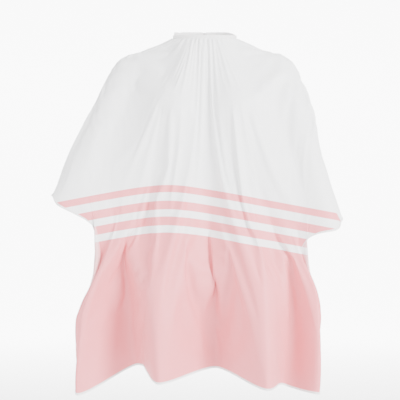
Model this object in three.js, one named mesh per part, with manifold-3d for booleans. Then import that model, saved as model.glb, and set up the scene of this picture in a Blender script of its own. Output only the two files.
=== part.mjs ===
// Barber cape: one printed rectangular sheet with a round neck opening and a back slit, a bound
// neckline, bound outer edges, and a snap closure behind the neck. It is shaped as it hangs on a
// wearer whose elbows are held out: over both shoulders, open under the arms, long in front and
// short behind.
//
// Millimetres, +Z up, front towards -Y, +X to the right of someone looking at the front. The origin
// is the centre of the neck opening.
import * as THREE from "three";
import { mergeVertices } from "three/addons/utils/BufferGeometryUtils.js";
import Module from "manifold-3d";

const wasm = await Module();
wasm.setup();

// Flat sheet, measured from the centre of the neck opening
const SHEET_HALF_WIDTH = 500;
const FRONT_LENGTH = 833;
const BACK_LENGTH = 367;
const BLOCK_HEIGHT = 320; // the plain coloured block above the front hem
const STRIPE_STACK = 108; // the stripes above it
const SHEET_THICKNESS = 1.6;
const HEM_WIDTH = 7;
const HEM_THICKNESS = 2.2;
const HEM_GAP = 1.6; // on the flat sheet
const SIDE_HEM_GAP = 3.2; // it closes up where the side edges fold back
const FACING_WIDTH = 16;
const SLIT_HALF_GAP = 4;
const SLIT_HEM_SPREAD = 9; // how far each slit edge leans out at the back hem
const SLIT_FALL = 1.35; // above 1, the slit leaves the nape more level than it ends
const SEAM_GAP = 0.6;

// Neck opening and its band
const NECK_HALF_WIDTH = 71;
const NECK_HALF_DEPTH = 62;
const NECK_LEVEL = 4;
const NECK_TILT = 8.5; // the opening is this much higher at the nape and lower at the throat
const BAND_THICKNESS = 2.4;
const BAND_FRONT_HEIGHT = 9;
const BAND_BACK_HEIGHT = 18;
const BAND_END_ANGLE = 3;

// The hanging shape. A take-up is how much of the sheet's length goes over the body before the rest
// hangs or reaches out.
const SHOULDER_OUT = 172;
const SHOULDER_DROP = 35;
const CHEST_FORWARD = 90;
const CHEST_DROP = 169;
const WAIST_FORWARD = 141;
const HEM_FORWARD = 190;
const FRONT_TAKE_UP = 91;
const HEM_CORNER_DROP = 22; // the front corners hang this much lower than the middle
const BACK_OUT = 114;
const SLIT_OUT = 93;
const BACK_TAKE_UP = 97;
const BACK_CORNER_OUT = 177;
const BACK_CORNER_BACK = 12;
const BACK_CORNER_DROP = 453;

// What differs from side to side: how far the elbow holds the cloth out, forward and down, where
// the side edge turns down into the skirt, and how far out the front corner hangs
const LEFT_SIDE = {
  elbow: { out: SHEET_HALF_WIDTH - 166, forward: 149, drop: 362 },
  skirtTop: { out: 240, drop: 466 },
  cornerOut: 272,
};
const RIGHT_SIDE = {
  elbow: { out: SHEET_HALF_WIDTH - 205, forward: 149, drop: 419 },
  skirtTop: { out: 209, drop: 482 },
  cornerOut: 230,
};

// Folds of the skirt: places across the flat sheet, each with how far the hem there stands to the
// right, back and up from a plain hang. They start this far down the flat sheet.
const FOLDS_START = 340;
const SKIRT_FOLDS = [
  { across: -500, right: 0, back: 15, up: 34 },
  { across: -420, right: -20, back: -30, up: 14 },
  { across: -280, right: 14, back: 60, up: 40 },
  { across: -150, right: -2, back: -60, up: 4 },
  { across: 0, right: 21, back: 55, up: 18 },
  { across: 165, right: 42, back: -60, up: -8 },
  { across: 290, right: 30, back: 40, up: 0 },
  { across: 400, right: 36, back: -20, up: 12 },
  { across: 500, right: 0, back: 25, up: 26 },
];

// Closure tabs and snaps
const TAB_HEIGHT = 16;
const TAB_THICKNESS = 1.2;
const TAB_BOTTOM = 1.2; // above the lower edge of the neck band
const TAB_CLEARANCE = 0.3;
// Angles of the closure are in degrees from the nape, positive towards +X.
const UNDER_TAB_ROOT_ANGLE = 34;
const UNDER_TAB_SEWN_ANGLE = 10; // the length of its sewn root
const UNDER_TAB_FLAT_ANGLE = 8;
const UNDER_TAB_END_ANGLE = -44;
const OVER_TAB_SEWN_ANGLE = -72;
const OVER_TAB_HINGE_ANGLE = -60;
const OVER_TAB_FLAT_ANGLE = -46;
const OVER_TAB_END_ANGLE = 6;
const HINGE_GAP_ANGLE = 1.4; // room for the tab to fold back at its root
const STUD_COUNT = 4;
const SOCKET_COUNT = 2;
const FIRST_STUD_ANGLE = -3;
const STUD_PITCH_ANGLE = 11;
const SNAP_RADIUS = 5.6;
const SHANK_RADIUS = 1.6;
const SHANK_CLEARANCE = 0.35;
const POST_FLANGE = 0.8;
const STUD_FLANGE = 0.6;
const STUD_RADIUS = 2.2;
const STUD_HEIGHT = 1.7;
const SOCKET_DEPTH = 2.2;
const CAP_HEIGHT = 1.8;

// Mesh steps, with the columns counted on one half of the cape
const FRONT_COLUMNS = 15;
const SIDE_COLUMNS = 20;
const BACK_COLUMNS = 8;
const SHEET_ROWS = 13;
const BAND_STEPS = 40;
const TAB_STEPS = 14;
const SNAP_SIDES = 16;

const DEGREE = Math.PI / 180;
const TINY = 1e-9;
const FRONT_CORNER = Math.atan2(SHEET_HALF_WIDTH, FRONT_LENGTH);
const BACK_CORNER = Math.atan2(SHEET_HALF_WIDTH, -BACK_LENGTH);
const SLIT_EDGE = Math.PI - SLIT_HALF_GAP / 2 / NECK_HALF_WIDTH;
const STRIPES_TOP = FRONT_LENGTH - BLOCK_HEIGHT - STRIPE_STACK;
const BLOCK_TOP = FRONT_LENGTH - BLOCK_HEIGHT;
const HEM_DROP = FRONT_LENGTH - FRONT_TAKE_UP;
const BACK_DROP = BACK_LENGTH - BACK_TAKE_UP;
const BAND_OUTSIDE = BAND_THICKNESS;
const SEWN_OFFSET = BAND_OUTSIDE + TAB_CLEARANCE;
const UNDER_TAB_OFFSET = SEWN_OFFSET + POST_FLANGE + TAB_CLEARANCE;
const STUD_BASE = UNDER_TAB_OFFSET + TAB_THICKNESS + TAB_CLEARANCE;
const SOCKET_BASE = STUD_BASE + STUD_FLANGE + TAB_CLEARANCE;
const OVER_TAB_OFFSET = SOCKET_BASE + SOCKET_DEPTH + TAB_CLEARANCE;
const CAP_BASE = OVER_TAB_OFFSET + TAB_THICKNESS + TAB_CLEARANCE;

const clamp = THREE.MathUtils.clamp;
const smoothstep = THREE.MathUtils.smoothstep;

function material(color, roughness, metalness = 0) {
  return new THREE.MeshStandardMaterial({ color, roughness, metalness });
}

const whiteCloth = () => material(0xf6f6f7, 0.55);
const trimCloth = () => material(0xf3eff0, 0.65);
const snapMetal = () => material(0xc9ccd0, 0.28, 1);

// ---- Neckline ----------------------------------------------------------------------------------

// Angles round the neck are in radians from the throat, positive towards +X, so PI is the nape.
function neckPoint(angle, offset) {
  const x = NECK_HALF_WIDTH * Math.sin(angle);
  const y = -NECK_HALF_DEPTH * Math.cos(angle);
  const outward = neckOutward(angle);
  const z = NECK_LEVEL + (NECK_TILT * y) / NECK_HALF_DEPTH;
  return new THREE.Vector3(x + outward.x * offset, y + outward.y * offset, z);
}

function neckOutward(angle) {
  return new THREE.Vector3(
    Math.sin(angle) / NECK_HALF_WIDTH,
    -Math.cos(angle) / NECK_HALF_DEPTH,
    0,
  ).normalize();
}

const fromNape = (degrees) => Math.PI - degrees * DEGREE;

// ---- The hanging sheet -------------------------------------------------------------------------

// Distance from the centre of the neck to the cut edge of the flat sheet, or to a line this far
// inside its sides and its ends, in a direction given as an angle from straight forward.
function flatReach(angle, sideInset = 0, endInset = sideInset) {
  const length = Math.cos(angle) > 0 ? FRONT_LENGTH : BACK_LENGTH;
  const toSide = (SHEET_HALF_WIDTH - sideInset) / Math.max(Math.abs(Math.sin(angle)), TINY);
  const toEnd = (length - endInset) / Math.max(Math.abs(Math.cos(angle)), TINY);
  return Math.min(toSide, toEnd);
}

const neckReach = (angle) =>
  Math.hypot(NECK_HALF_WIDTH * Math.sin(angle), NECK_HALF_DEPTH * Math.cos(angle)) +
  BAND_OUTSIDE +
  SEAM_GAP;

// Lines that run over the body from the neckline to the cut edge, on one side. Each has the place on
// the flat sheet that it runs to, and its places at a quarter, a half, three quarters and the whole
// of its length. `side` is -1 on the left and 1 on the right.
function hangingLines(side, { elbow, skirtTop, cornerOut }) {
  const at = (out, y, z) => new THREE.Vector3(side * out, y, z);
  const line = (across, down, places) => ({ angle: Math.atan2(across, down), places });
  const width = SHEET_HALF_WIDTH;
  return [
    line(0, FRONT_LENGTH, middleOfFront(at)),
    line(width * 0.48, FRONT_LENGTH, besideMiddle(at, cornerOut)),
    line(width, FRONT_LENGTH, toFrontCorner(at, elbow, skirtTop, cornerOut)),
    line(width, BLOCK_TOP, toSkirtTop(at, elbow, skirtTop)),
    line(width, STRIPES_TOP * 1.07, underElbow(at, elbow)),
    line(width, STRIPES_TOP * 0.8, overElbow(at, elbow)),
    line(width, STRIPES_TOP * 0.45, behindElbow(at, elbow)),
    line(width, 0, overShoulder(at, elbow)),
    line(width, -BACK_LENGTH * 0.45, behindShoulder(at)),
    line(width, -BACK_LENGTH, toBackCorner(at)),
    line(width * 0.67, -BACK_LENGTH, besideBlade(at)),
    line(width * 0.34, -BACK_LENGTH, downBack(at)),
    line(0, -BACK_LENGTH, alongSlit(at)),
  ];
}

const between = (from, to, share) => from + (to - from) * share;

const middleOfFront = (at) => [
  at(0, -CHEST_FORWARD, -CHEST_DROP),
  at(0, -WAIST_FORWARD, -HEM_DROP * 0.49),
  at(0, -between(WAIST_FORWARD, HEM_FORWARD, 0.6), -HEM_DROP * 0.77),
  at(0, -HEM_FORWARD, -HEM_DROP),
];

const besideMiddle = (at, cornerOut) => [
  at(SHOULDER_OUT * 0.34, -CHEST_FORWARD * 1.24, -CHEST_DROP * 0.92),
  at(cornerOut * 0.38, -WAIST_FORWARD * 1.06, -HEM_DROP * 0.5),
  at(cornerOut * 0.47, -HEM_FORWARD * 0.88, -HEM_DROP * 0.78),
  at(cornerOut * 0.52, -HEM_FORWARD, -HEM_DROP - HEM_CORNER_DROP / 2),
];

const toFrontCorner = (at, elbow, skirtTop, cornerOut) => [
  at(SHOULDER_OUT * 0.65, -CHEST_FORWARD, -CHEST_DROP * 0.75),
  at(skirtTop.out * 0.84, -WAIST_FORWARD * 0.97, -elbow.drop * 0.94),
  at(between(skirtTop.out, cornerOut, 0.3), -HEM_FORWARD * 0.95, -HEM_DROP * 0.77),
  at(cornerOut, -HEM_FORWARD * 0.92, -HEM_DROP - HEM_CORNER_DROP),
];

const toSkirtTop = (at, elbow, skirtTop) => [
  at(SHOULDER_OUT * 0.86, -CHEST_FORWARD * 0.55, -SHOULDER_DROP * 2),
  at(between(SHOULDER_OUT, skirtTop.out, 0.7), -elbow.forward * 0.65, -elbow.drop * 0.6),
  at(skirtTop.out * 0.95, -elbow.forward * 1.1, -elbow.drop * 0.97),
  at(skirtTop.out, -elbow.forward * 0.78, -skirtTop.drop),
];

const underElbow = (at, elbow) => [
  at(SHOULDER_OUT * 0.97, -elbow.forward * 0.18, -SHOULDER_DROP * 1.25),
  at(elbow.out * 0.76, -elbow.forward * 0.52, -elbow.drop * 0.48),
  at(elbow.out * 0.83, -elbow.forward * 0.93, -elbow.drop * 0.83),
  at(elbow.out * 0.9, -elbow.forward * 1.16, -elbow.drop * 1.04),
];

const overElbow = (at, elbow) => [
  at(SHOULDER_OUT * 1.03, -elbow.forward * 0.08, -SHOULDER_DROP),
  at(elbow.out * 0.77, -elbow.forward * 0.35, -elbow.drop * 0.42),
  at(elbow.out * 0.9, -elbow.forward * 0.73, -elbow.drop * 0.76),
  at(elbow.out, -elbow.forward, -elbow.drop),
];

const behindElbow = (at, elbow) => [
  at(SHOULDER_OUT * 1.02, -elbow.forward * 0.03, -SHOULDER_DROP),
  at(elbow.out * 0.75, -elbow.forward * 0.22, -elbow.drop * 0.37),
  at(elbow.out * 0.87, -elbow.forward * 0.43, -elbow.drop * 0.69),
  at(elbow.out * 0.96, -elbow.forward * 0.62, -elbow.drop * 0.95),
];

const overShoulder = (at, elbow) => [
  at(SHOULDER_OUT, BACK_OUT * 0.09, -SHOULDER_DROP * 0.97),
  at(elbow.out * 0.7, BACK_OUT * 0.07, -elbow.drop * 0.32),
  at(elbow.out * 0.74, -BACK_OUT * 0.15, -elbow.drop * 0.64),
  at(elbow.out * 0.74, -BACK_OUT * 0.25, -elbow.drop * 0.91),
];

const behindShoulder = (at) => [
  at(SHOULDER_OUT * 0.98, BACK_OUT * 0.31, -SHOULDER_DROP * 1.17),
  at(BACK_CORNER_OUT * 1.16, BACK_OUT * 0.33, -BACK_CORNER_DROP * 0.32),
  at(BACK_CORNER_OUT * 1.09, BACK_OUT * 0.05, -BACK_CORNER_DROP * 0.65),
  at(BACK_CORNER_OUT * 1.07, -BACK_CORNER_BACK, -BACK_CORNER_DROP * 0.91),
];

const toBackCorner = (at) => [
  at(SHOULDER_OUT * 0.88, BACK_OUT * 0.42, -SHOULDER_DROP * 1.66),
  at(BACK_CORNER_OUT * 1.17, BACK_OUT * 0.56, -BACK_CORNER_DROP * 0.36),
  at(BACK_CORNER_OUT * 1.16, BACK_OUT * 0.32, -BACK_CORNER_DROP * 0.74),
  at(BACK_CORNER_OUT, BACK_CORNER_BACK, -BACK_CORNER_DROP),
];

const besideBlade = (at) => [
  at(SHOULDER_OUT * 0.7, BACK_OUT * 0.51, -SHOULDER_DROP * 1.5),
  at(BACK_CORNER_OUT * 0.96, BACK_OUT * 0.77, -BACK_CORNER_DROP * 0.33),
  at(BACK_CORNER_OUT * 1.01, BACK_OUT * 0.66, -BACK_CORNER_DROP * 0.66),
  at(BACK_CORNER_OUT * 0.96, BACK_OUT * 0.53, -BACK_CORNER_DROP * 0.91),
];

const downBack = (at) => [
  at(SHOULDER_OUT * 0.41, BACK_OUT * 0.68, -SHOULDER_DROP * 0.8),
  at(BACK_CORNER_OUT * 0.51, BACK_OUT * 0.96, -BACK_DROP * 0.42),
  at(BACK_CORNER_OUT * 0.55, BACK_OUT * 0.98, -BACK_DROP * 0.81),
  at(BACK_CORNER_OUT * 0.59, BACK_OUT, -BACK_DROP * 1.12),
];

const alongSlit = (at) =>
  [0.25, 0.5, 0.75, 1].map((share) =>
    at(
      SLIT_HALF_GAP + SLIT_HEM_SPREAD * share * share,
      between(NECK_HALF_DEPTH, SLIT_OUT, share),
      between(NECK_LEVEL, -BACK_DROP, share ** SLIT_FALL),
    ),
  );

const hanging = { left: hangingLines(-1, LEFT_SIDE), right: hangingLines(1, RIGHT_SIDE) };

function throughPoints(before, from, to, after, share) {
  const blend = (a, b, c, d) => {
    const slopeIn = (c - a) / 2;
    const slopeOut = (d - b) / 2;
    const s = share;
    return (
      b * (2 * s ** 3 - 3 * s ** 2 + 1) +
      slopeIn * (s ** 3 - 2 * s ** 2 + s) +
      c * (3 * s ** 2 - 2 * s ** 3) +
      slopeOut * (s ** 3 - s ** 2)
    );
  };
  return new THREE.Vector3(
    blend(before.x, from.x, to.x, after.x),
    blend(before.y, from.y, to.y, after.y),
    blend(before.z, from.z, to.z, after.z),
  );
}

function alongLine(start, places, share) {
  const points = [start, ...places];
  const last = points.length - 1;
  const step = Math.min(Math.floor(share * last), last - 1);
  const before = points[Math.max(step - 1, 0)];
  const after = points[Math.min(step + 2, last)];
  return throughPoints(before, points[step], points[step + 1], after, share * last - step);
}

// The middle of the cloth at a direction on the flat sheet and a share of the way to its edge.
function clothMiddle(angle, share) {
  const lines = angle < 0 ? hanging.left : hanging.right;
  const turn = clamp(Math.abs(angle), 0, Math.PI);
  const start = neckPoint(angle, BAND_OUTSIDE + SEAM_GAP + SHEET_THICKNESS / 2);
  const last = lines.length - 1;
  let step = 0;
  while (step < last - 1 && turn > lines[step + 1].angle) step += 1;
  const place = (index) => alongLine(start, lines[clamp(index, 0, last)].places, share);
  const mirrored = () => place(1).multiply(new THREE.Vector3(-1, 1, 1));
  const before = step === 0 ? mirrored() : place(step - 1);
  const part = (turn - lines[step].angle) / (lines[step + 1].angle - lines[step].angle);
  const point = throughPoints(before, place(step), place(step + 1), place(step + 2), part);
  return point.add(skirtFold(angle, share));
}

function skirtFold(angle, share) {
  const reach = between(neckReach(angle), flatReach(angle), share);
  const growth = smoothstep(reach * Math.cos(angle), FOLDS_START, FRONT_LENGTH);
  const across = reach * Math.sin(angle);
  const last = SKIRT_FOLDS.length - 1;
  let step = 1;
  while (step < last && across > SKIRT_FOLDS[step].across) step += 1;
  const [from, to] = [SKIRT_FOLDS[step - 1], SKIRT_FOLDS[step]];
  const turn = smoothstep(across, from.across, to.across);
  return new THREE.Vector3(
    growth * between(from.right, to.right, turn),
    growth * between(from.back, to.back, turn),
    growth * between(from.up, to.up, turn),
  );
}

function clothNormal(angle, share) {
  const small = 1e-3;
  const inside = clamp(angle, -Math.PI + small, Math.PI - small);
  const low = clamp(share, small, 1 - small);
  const across = clothMiddle(inside + small, low).sub(clothMiddle(inside - small, low));
  const down = clothMiddle(inside, low + small).sub(clothMiddle(inside, low - small));
  return down.cross(across).normalize();
}

// ---- Solids ------------------------------------------------------------------------------------

// A closed slab over a grid of places: `place(column, row)` gives its point on each of two faces.
function slab(columns, rows, place) {
  const positions = [];
  const faces = [];
  const width = columns + 1;
  const count = width * (rows + 1);
  for (const face of [0, 1]) {
    for (let row = 0; row <= rows; row += 1) {
      for (let column = 0; column <= columns; column += 1) {
        const point = place(column, row)[face];
        positions.push(point.x, point.y, point.z);
      }
    }
  }
  const quad = (a, b, c, d) => faces.push(a, b, c, a, c, d);
  const index = (column, row) => row * width + column;
  for (let row = 0; row < rows; row += 1) {
    for (let column = 0; column < columns; column += 1) {
      const corners = [
        index(column, row),
        index(column, row + 1),
        index(column + 1, row + 1),
        index(column + 1, row),
      ];
      quad(...corners);
      quad(...corners.reverse().map((corner) => corner + count));
    }
  }
  const border = [];
  for (let column = 0; column < columns; column += 1) border.push(index(column, 0));
  for (let row = 0; row < rows; row += 1) border.push(index(columns, row));
  for (let column = columns; column > 0; column -= 1) border.push(index(column, rows));
  for (let row = rows; row > 0; row -= 1) border.push(index(0, row));
  border.forEach((corner, place) => {
    const next = border[(place + 1) % border.length];
    quad(corner, next, next + count, corner + count);
  });
  const geometry = new THREE.BufferGeometry();
  geometry.setAttribute("position", new THREE.Float32BufferAttribute(positions, 3));
  geometry.setIndex(faces);
  return outwardFacing(geometry);
}

function outwardFacing(geometry) {
  const position = geometry.getAttribute("position");
  const index = geometry.getIndex();
  const corner = (place) => new THREE.Vector3().fromBufferAttribute(position, index.getX(place));
  let volume = 0;
  for (let place = 0; place < index.count; place += 3) {
    volume += corner(place).dot(corner(place + 1).cross(corner(place + 2)));
  }
  if (volume < 0) {
    for (let place = 0; place < index.count; place += 3) {
      const second = index.getX(place + 1);
      index.setX(place + 1, index.getX(place + 2));
      index.setX(place + 2, second);
    }
  }
  return geometry;
}

// Cloth whose direction and share of the way to the edge are functions of its column and row
function clothSlab(columns, rows, thickness, directionAt) {
  return slab(columns, rows, (column, row) => {
    const { angle, share } = directionAt(column, row);
    const middle = clothMiddle(angle, share);
    const normal = clothNormal(angle, share);
    return [
      middle.clone().addScaledVector(normal, thickness / 2),
      middle.clone().addScaledVector(normal, -thickness / 2),
    ];
  });
}

function toManifold(geometry) {
  const bare = new THREE.BufferGeometry();
  bare.setAttribute("position", geometry.getAttribute("position").clone());
  if (geometry.getIndex()) bare.setIndex(geometry.getIndex().clone());
  const merged = mergeVertices(bare, 1e-4);
  return new wasm.Manifold(
    new wasm.Mesh({
      numProp: 3,
      vertProperties: new Float32Array(merged.getAttribute("position").array),
      triVerts: new Uint32Array(merged.getIndex().array),
    }),
  );
}

function fromManifold(solid) {
  const mesh = solid.getMesh();
  const geometry = new THREE.BufferGeometry();
  geometry.setAttribute("position", new THREE.Float32BufferAttribute(mesh.vertProperties, 3));
  geometry.setIndex(Array.from(mesh.triVerts));
  return geometry;
}

function node(name, geometry, finish) {
  geometry.computeVertexNormals();
  const mesh = new THREE.Mesh(geometry, finish);
  mesh.name = name;
  return mesh;
}

// ---- Cloth pieces ------------------------------------------------------------------------------

// Shares of the way to the cut edge: where the hem's inner edge lies, and where the sheet ends
function shareOf(reach, angle) {
  return (reach - neckReach(angle)) / (flatReach(angle) - neckReach(angle));
}
const hemShare = (angle) => shareOf(flatReach(angle, HEM_WIDTH), angle);
const sheetShare = (angle) =>
  shareOf(flatReach(angle, HEM_WIDTH + SIDE_HEM_GAP, HEM_WIDTH + HEM_GAP), angle);

// The direction in which a line beside the slit, at this distance from its middle, is met
function besideSlit(distance, share) {
  const reach = neckReach(Math.PI) + (flatReach(Math.PI) - neckReach(Math.PI)) * share;
  return Math.PI - Math.asin(clamp(distance / reach, 0, 1));
}

const HALF_COLUMNS = FRONT_COLUMNS + SIDE_COLUMNS + BACK_COLUMNS;
const LAST_SHARE = sheetShare(Math.PI);

// The direction of a column, counted from the middle of the front, negative on the left
function columnAngle(column, share) {
  const lastAngle = besideSlit(FACING_WIDTH + HEM_GAP, share);
  const count = Math.abs(column);
  const spread = (from, to, first, columns) => from + ((to - from) * (count - first)) / columns;
  let angle = spread(BACK_CORNER, lastAngle, FRONT_COLUMNS + SIDE_COLUMNS, BACK_COLUMNS);
  if (count <= FRONT_COLUMNS) {
    angle = spread(0, FRONT_CORNER, 0, FRONT_COLUMNS);
  } else if (count <= FRONT_COLUMNS + SIDE_COLUMNS) {
    angle = spread(FRONT_CORNER, BACK_CORNER, FRONT_COLUMNS, SIDE_COLUMNS);
  }
  return Math.sign(column) * angle;
}

function sheetDirection(column, row) {
  const edge = sheetShare(columnAngle(column, LAST_SHARE));
  const share = (row / SHEET_ROWS) * edge;
  return { angle: columnAngle(column, share), share };
}

function capeSheet() {
  const geometry = clothSlab(HALF_COLUMNS * 2, SHEET_ROWS, SHEET_THICKNESS, (column, row) =>
    sheetDirection(column - HALF_COLUMNS, row),
  );
  return node("cape_sheet", geometry, whiteCloth());
}

// A binding along the cut edge between two columns, and on to the slit where it ends the back
function hem(name, fromColumn, toColumn) {
  const angles = [];
  for (let column = fromColumn; column <= toColumn; column += 1) {
    angles.push(columnAngle(column, LAST_SHARE));
  }
  if (fromColumn === -HALF_COLUMNS) angles.unshift(-SLIT_EDGE);
  if (toColumn === HALF_COLUMNS) angles.push(SLIT_EDGE);
  const last = angles.length - 1;
  angles[0] += SIDE_HEM_GAP / flatReach(angles[0]);
  angles[last] -= SIDE_HEM_GAP / flatReach(angles[last]);
  const geometry = clothSlab(last, 1, HEM_THICKNESS, (column, row) => {
    const angle = angles[column];
    return { angle, share: row === 0 ? hemShare(angle) : 1 };
  });
  return node(name, geometry, trimCloth());
}

function slitFacing(name, side) {
  const columns = 2;
  const geometry = clothSlab(columns, SHEET_ROWS, HEM_THICKNESS, (column, row) => {
    const { share } = sheetDirection(HALF_COLUMNS, row);
    const inner = besideSlit(FACING_WIDTH, share);
    return { angle: side * (inner + ((SLIT_EDGE - inner) * column) / columns), share };
  });
  return node(name, geometry, trimCloth());
}

// ---- Neck band and tabs ------------------------------------------------------------------------

// A strip on edge round the neck between two distances from it
function neckStrip(steps, fromAngle, toAngle, offsetAt, thickness, lowAt, heightAt) {
  return slab(steps, 1, (column, row) => {
    const angle = fromAngle + ((toAngle - fromAngle) * column) / steps;
    const low = lowAt(angle) + heightAt(angle) * row;
    return [0, thickness].map((depth) => {
      const point = neckPoint(angle, offsetAt(angle) + depth);
      point.z = neckPoint(angle, 0).z + low;
      return point;
    });
  });
}

function bandHeight(angle) {
  const widening = smoothstep(Math.abs(angle), Math.PI * 0.5, Math.PI * 0.78);
  return BAND_FRONT_HEIGHT + (BAND_BACK_HEIGHT - BAND_FRONT_HEIGHT) * widening;
}

function neckBand() {
  const end = fromNape(BAND_END_ANGLE);
  const strip = neckStrip(BAND_STEPS, -end, end, () => 0, BAND_THICKNESS, () => 0, bandHeight);
  return node("neck_band", strip, trimCloth());
}

const napeDegrees = (angle) => (Math.PI - (angle < 0 ? angle + 2 * Math.PI : angle)) / DEGREE;

function rampedOffset(angle, rootDegrees, flatDegrees, offset) {
  const from = Math.min(rootDegrees, flatDegrees);
  const to = Math.max(rootDegrees, flatDegrees);
  const rise = smoothstep(napeDegrees(angle), from, to);
  const share = rootDegrees < flatDegrees ? rise : 1 - rise;
  return SEWN_OFFSET + (offset - SEWN_OFFSET) * share;
}

const UNDER_TAB_RAMP_ANGLE = UNDER_TAB_ROOT_ANGLE - UNDER_TAB_SEWN_ANGLE;
const underTabOffset = (angle) =>
  rampedOffset(angle, UNDER_TAB_RAMP_ANGLE, UNDER_TAB_FLAT_ANGLE, UNDER_TAB_OFFSET);
const overTabOffset = (angle) =>
  rampedOffset(angle, OVER_TAB_HINGE_ANGLE, OVER_TAB_FLAT_ANGLE, OVER_TAB_OFFSET);

function tabStrip(fromDegrees, toDegrees, steps, offsetAt) {
  return neckStrip(
    steps,
    fromNape(fromDegrees),
    fromNape(toDegrees),
    offsetAt,
    TAB_THICKNESS,
    () => TAB_BOTTOM,
    () => TAB_HEIGHT,
  );
}

// Puts a turned piece, whose axis is +Y from the fabric outwards, at a place on the closure.
function onClosure(geometry, degrees, offset) {
  const angle = fromNape(degrees);
  const place = neckPoint(angle, offset);
  const outward = neckOutward(angle);
  const turn = new THREE.Quaternion().setFromUnitVectors(new THREE.Vector3(0, 1, 0), outward);
  geometry.applyQuaternion(turn);
  return geometry.translate(place.x, place.y, place.z + TAB_BOTTOM + TAB_HEIGHT / 2);
}

function shankHole(degrees, offset) {
  const reach = TAB_THICKNESS * 4;
  const hole = new THREE.CylinderGeometry(
    SHANK_RADIUS + SHANK_CLEARANCE,
    SHANK_RADIUS + SHANK_CLEARANCE,
    reach,
    SNAP_SIDES,
  );
  return toManifold(onClosure(hole, degrees, offset + TAB_THICKNESS / 2));
}

function pierced(strip, angles, offset) {
  return fromManifold(
    angles.reduce((solid, degrees) => solid.subtract(shankHole(degrees, offset)), toManifold(strip)),
  );
}

const studAngles = Array.from(
  { length: STUD_COUNT },
  (_, place) => FIRST_STUD_ANGLE - place * STUD_PITCH_ANGLE,
);
const socketAngles = studAngles.slice(0, SOCKET_COUNT);

function underTab() {
  const strip = tabStrip(UNDER_TAB_ROOT_ANGLE, UNDER_TAB_END_ANGLE, TAB_STEPS * 2, underTabOffset);
  return node("under_tab", pierced(strip, studAngles, UNDER_TAB_OFFSET), trimCloth());
}

function overTabSewnEnd() {
  const strip = tabStrip(
    OVER_TAB_SEWN_ANGLE,
    OVER_TAB_HINGE_ANGLE - HINGE_GAP_ANGLE,
    TAB_STEPS / 2,
    () => SEWN_OFFSET,
  );
  return node("over_tab_sewn_end", strip, trimCloth());
}

function overTab() {
  const strip = tabStrip(OVER_TAB_HINGE_ANGLE, OVER_TAB_END_ANGLE, TAB_STEPS * 2, overTabOffset);
  return node("over_tab", pierced(strip, socketAngles, OVER_TAB_OFFSET), trimCloth());
}

// ---- Snaps -------------------------------------------------------------------------------------

function turned(outline) {
  const points = outline.map(([radius, height]) => new THREE.Vector2(radius, height));
  return mergeVertices(stripped(new THREE.LatheGeometry(points, SNAP_SIDES)), 1e-4);
}

function stripped(geometry) {
  geometry.deleteAttribute("normal");
  geometry.deleteAttribute("uv");
  return geometry;
}

// The back plate inside the under tab, with a hollow shank through the tab
function postShape() {
  const shankEnd = POST_FLANGE + TAB_THICKNESS + TAB_CLEARANCE * 2;
  const bore = SHANK_RADIUS * 0.55;
  return turned([
    [bore, 0],
    [SNAP_RADIUS * 0.86, 0],
    [SNAP_RADIUS * 0.86, POST_FLANGE * 0.6],
    [SNAP_RADIUS * 0.78, POST_FLANGE],
    [SHANK_RADIUS, POST_FLANGE],
    [SHANK_RADIUS, shankEnd],
    [bore, shankEnd],
    [bore, 0],
  ]);
}

// The nub on the outside of the under tab, hollow where the shank's end is
function studShape() {
  const top = STUD_FLANGE + STUD_HEIGHT;
  const bore = SHANK_RADIUS * 0.8;
  return turned([
    [bore, 0],
    [SNAP_RADIUS * 0.86, 0],
    [SNAP_RADIUS * 0.86, STUD_FLANGE * 0.5],
    [SNAP_RADIUS * 0.78, STUD_FLANGE],
    [STUD_RADIUS * 0.86, STUD_FLANGE],
    [STUD_RADIUS, top - 0.7],
    [STUD_RADIUS * 0.8, top],
    [bore, top],
    [bore, 0],
  ]);
}

// The ring inside the over tab that grips a nub
function socketShape() {
  const grip = STUD_RADIUS + SHANK_CLEARANCE;
  return turned([
    [grip, 0],
    [SNAP_RADIUS * 0.84, 0],
    [SNAP_RADIUS * 0.96, SOCKET_DEPTH * 0.3],
    [SNAP_RADIUS * 0.96, SOCKET_DEPTH],
    [grip, SOCKET_DEPTH],
    [grip, 0],
  ]);
}

// The domed cap outside the over tab, with its shank through the tab
function capShape() {
  const shankStart = -(TAB_THICKNESS + TAB_CLEARANCE * 2);
  return turned([
    [0, shankStart],
    [SHANK_RADIUS, shankStart],
    [SHANK_RADIUS, 0],
    [SNAP_RADIUS * 0.95, 0],
    [SNAP_RADIUS, CAP_HEIGHT * 0.35],
    [SNAP_RADIUS * 0.9, CAP_HEIGHT * 0.72],
    [SNAP_RADIUS * 0.62, CAP_HEIGHT * 0.93],
    [0, CAP_HEIGHT],
  ]);
}

function snapPieces(kind, shape, angles, offset) {
  return angles.map((degrees, place) =>
    node(`${kind}_${place + 1}`, onClosure(shape(), degrees, offset), snapMetal()),
  );
}

// ---- Assembly ----------------------------------------------------------------------------------

function hems() {
  const sideEnd = FRONT_COLUMNS + SIDE_COLUMNS;
  return [
    hem("front_hem", -FRONT_COLUMNS, FRONT_COLUMNS),
    hem("left_side_hem", -sideEnd, -FRONT_COLUMNS),
    hem("right_side_hem", FRONT_COLUMNS, sideEnd),
    hem("left_back_hem", -HALF_COLUMNS, -sideEnd),
    hem("right_back_hem", sideEnd, HALF_COLUMNS),
  ];
}

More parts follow.
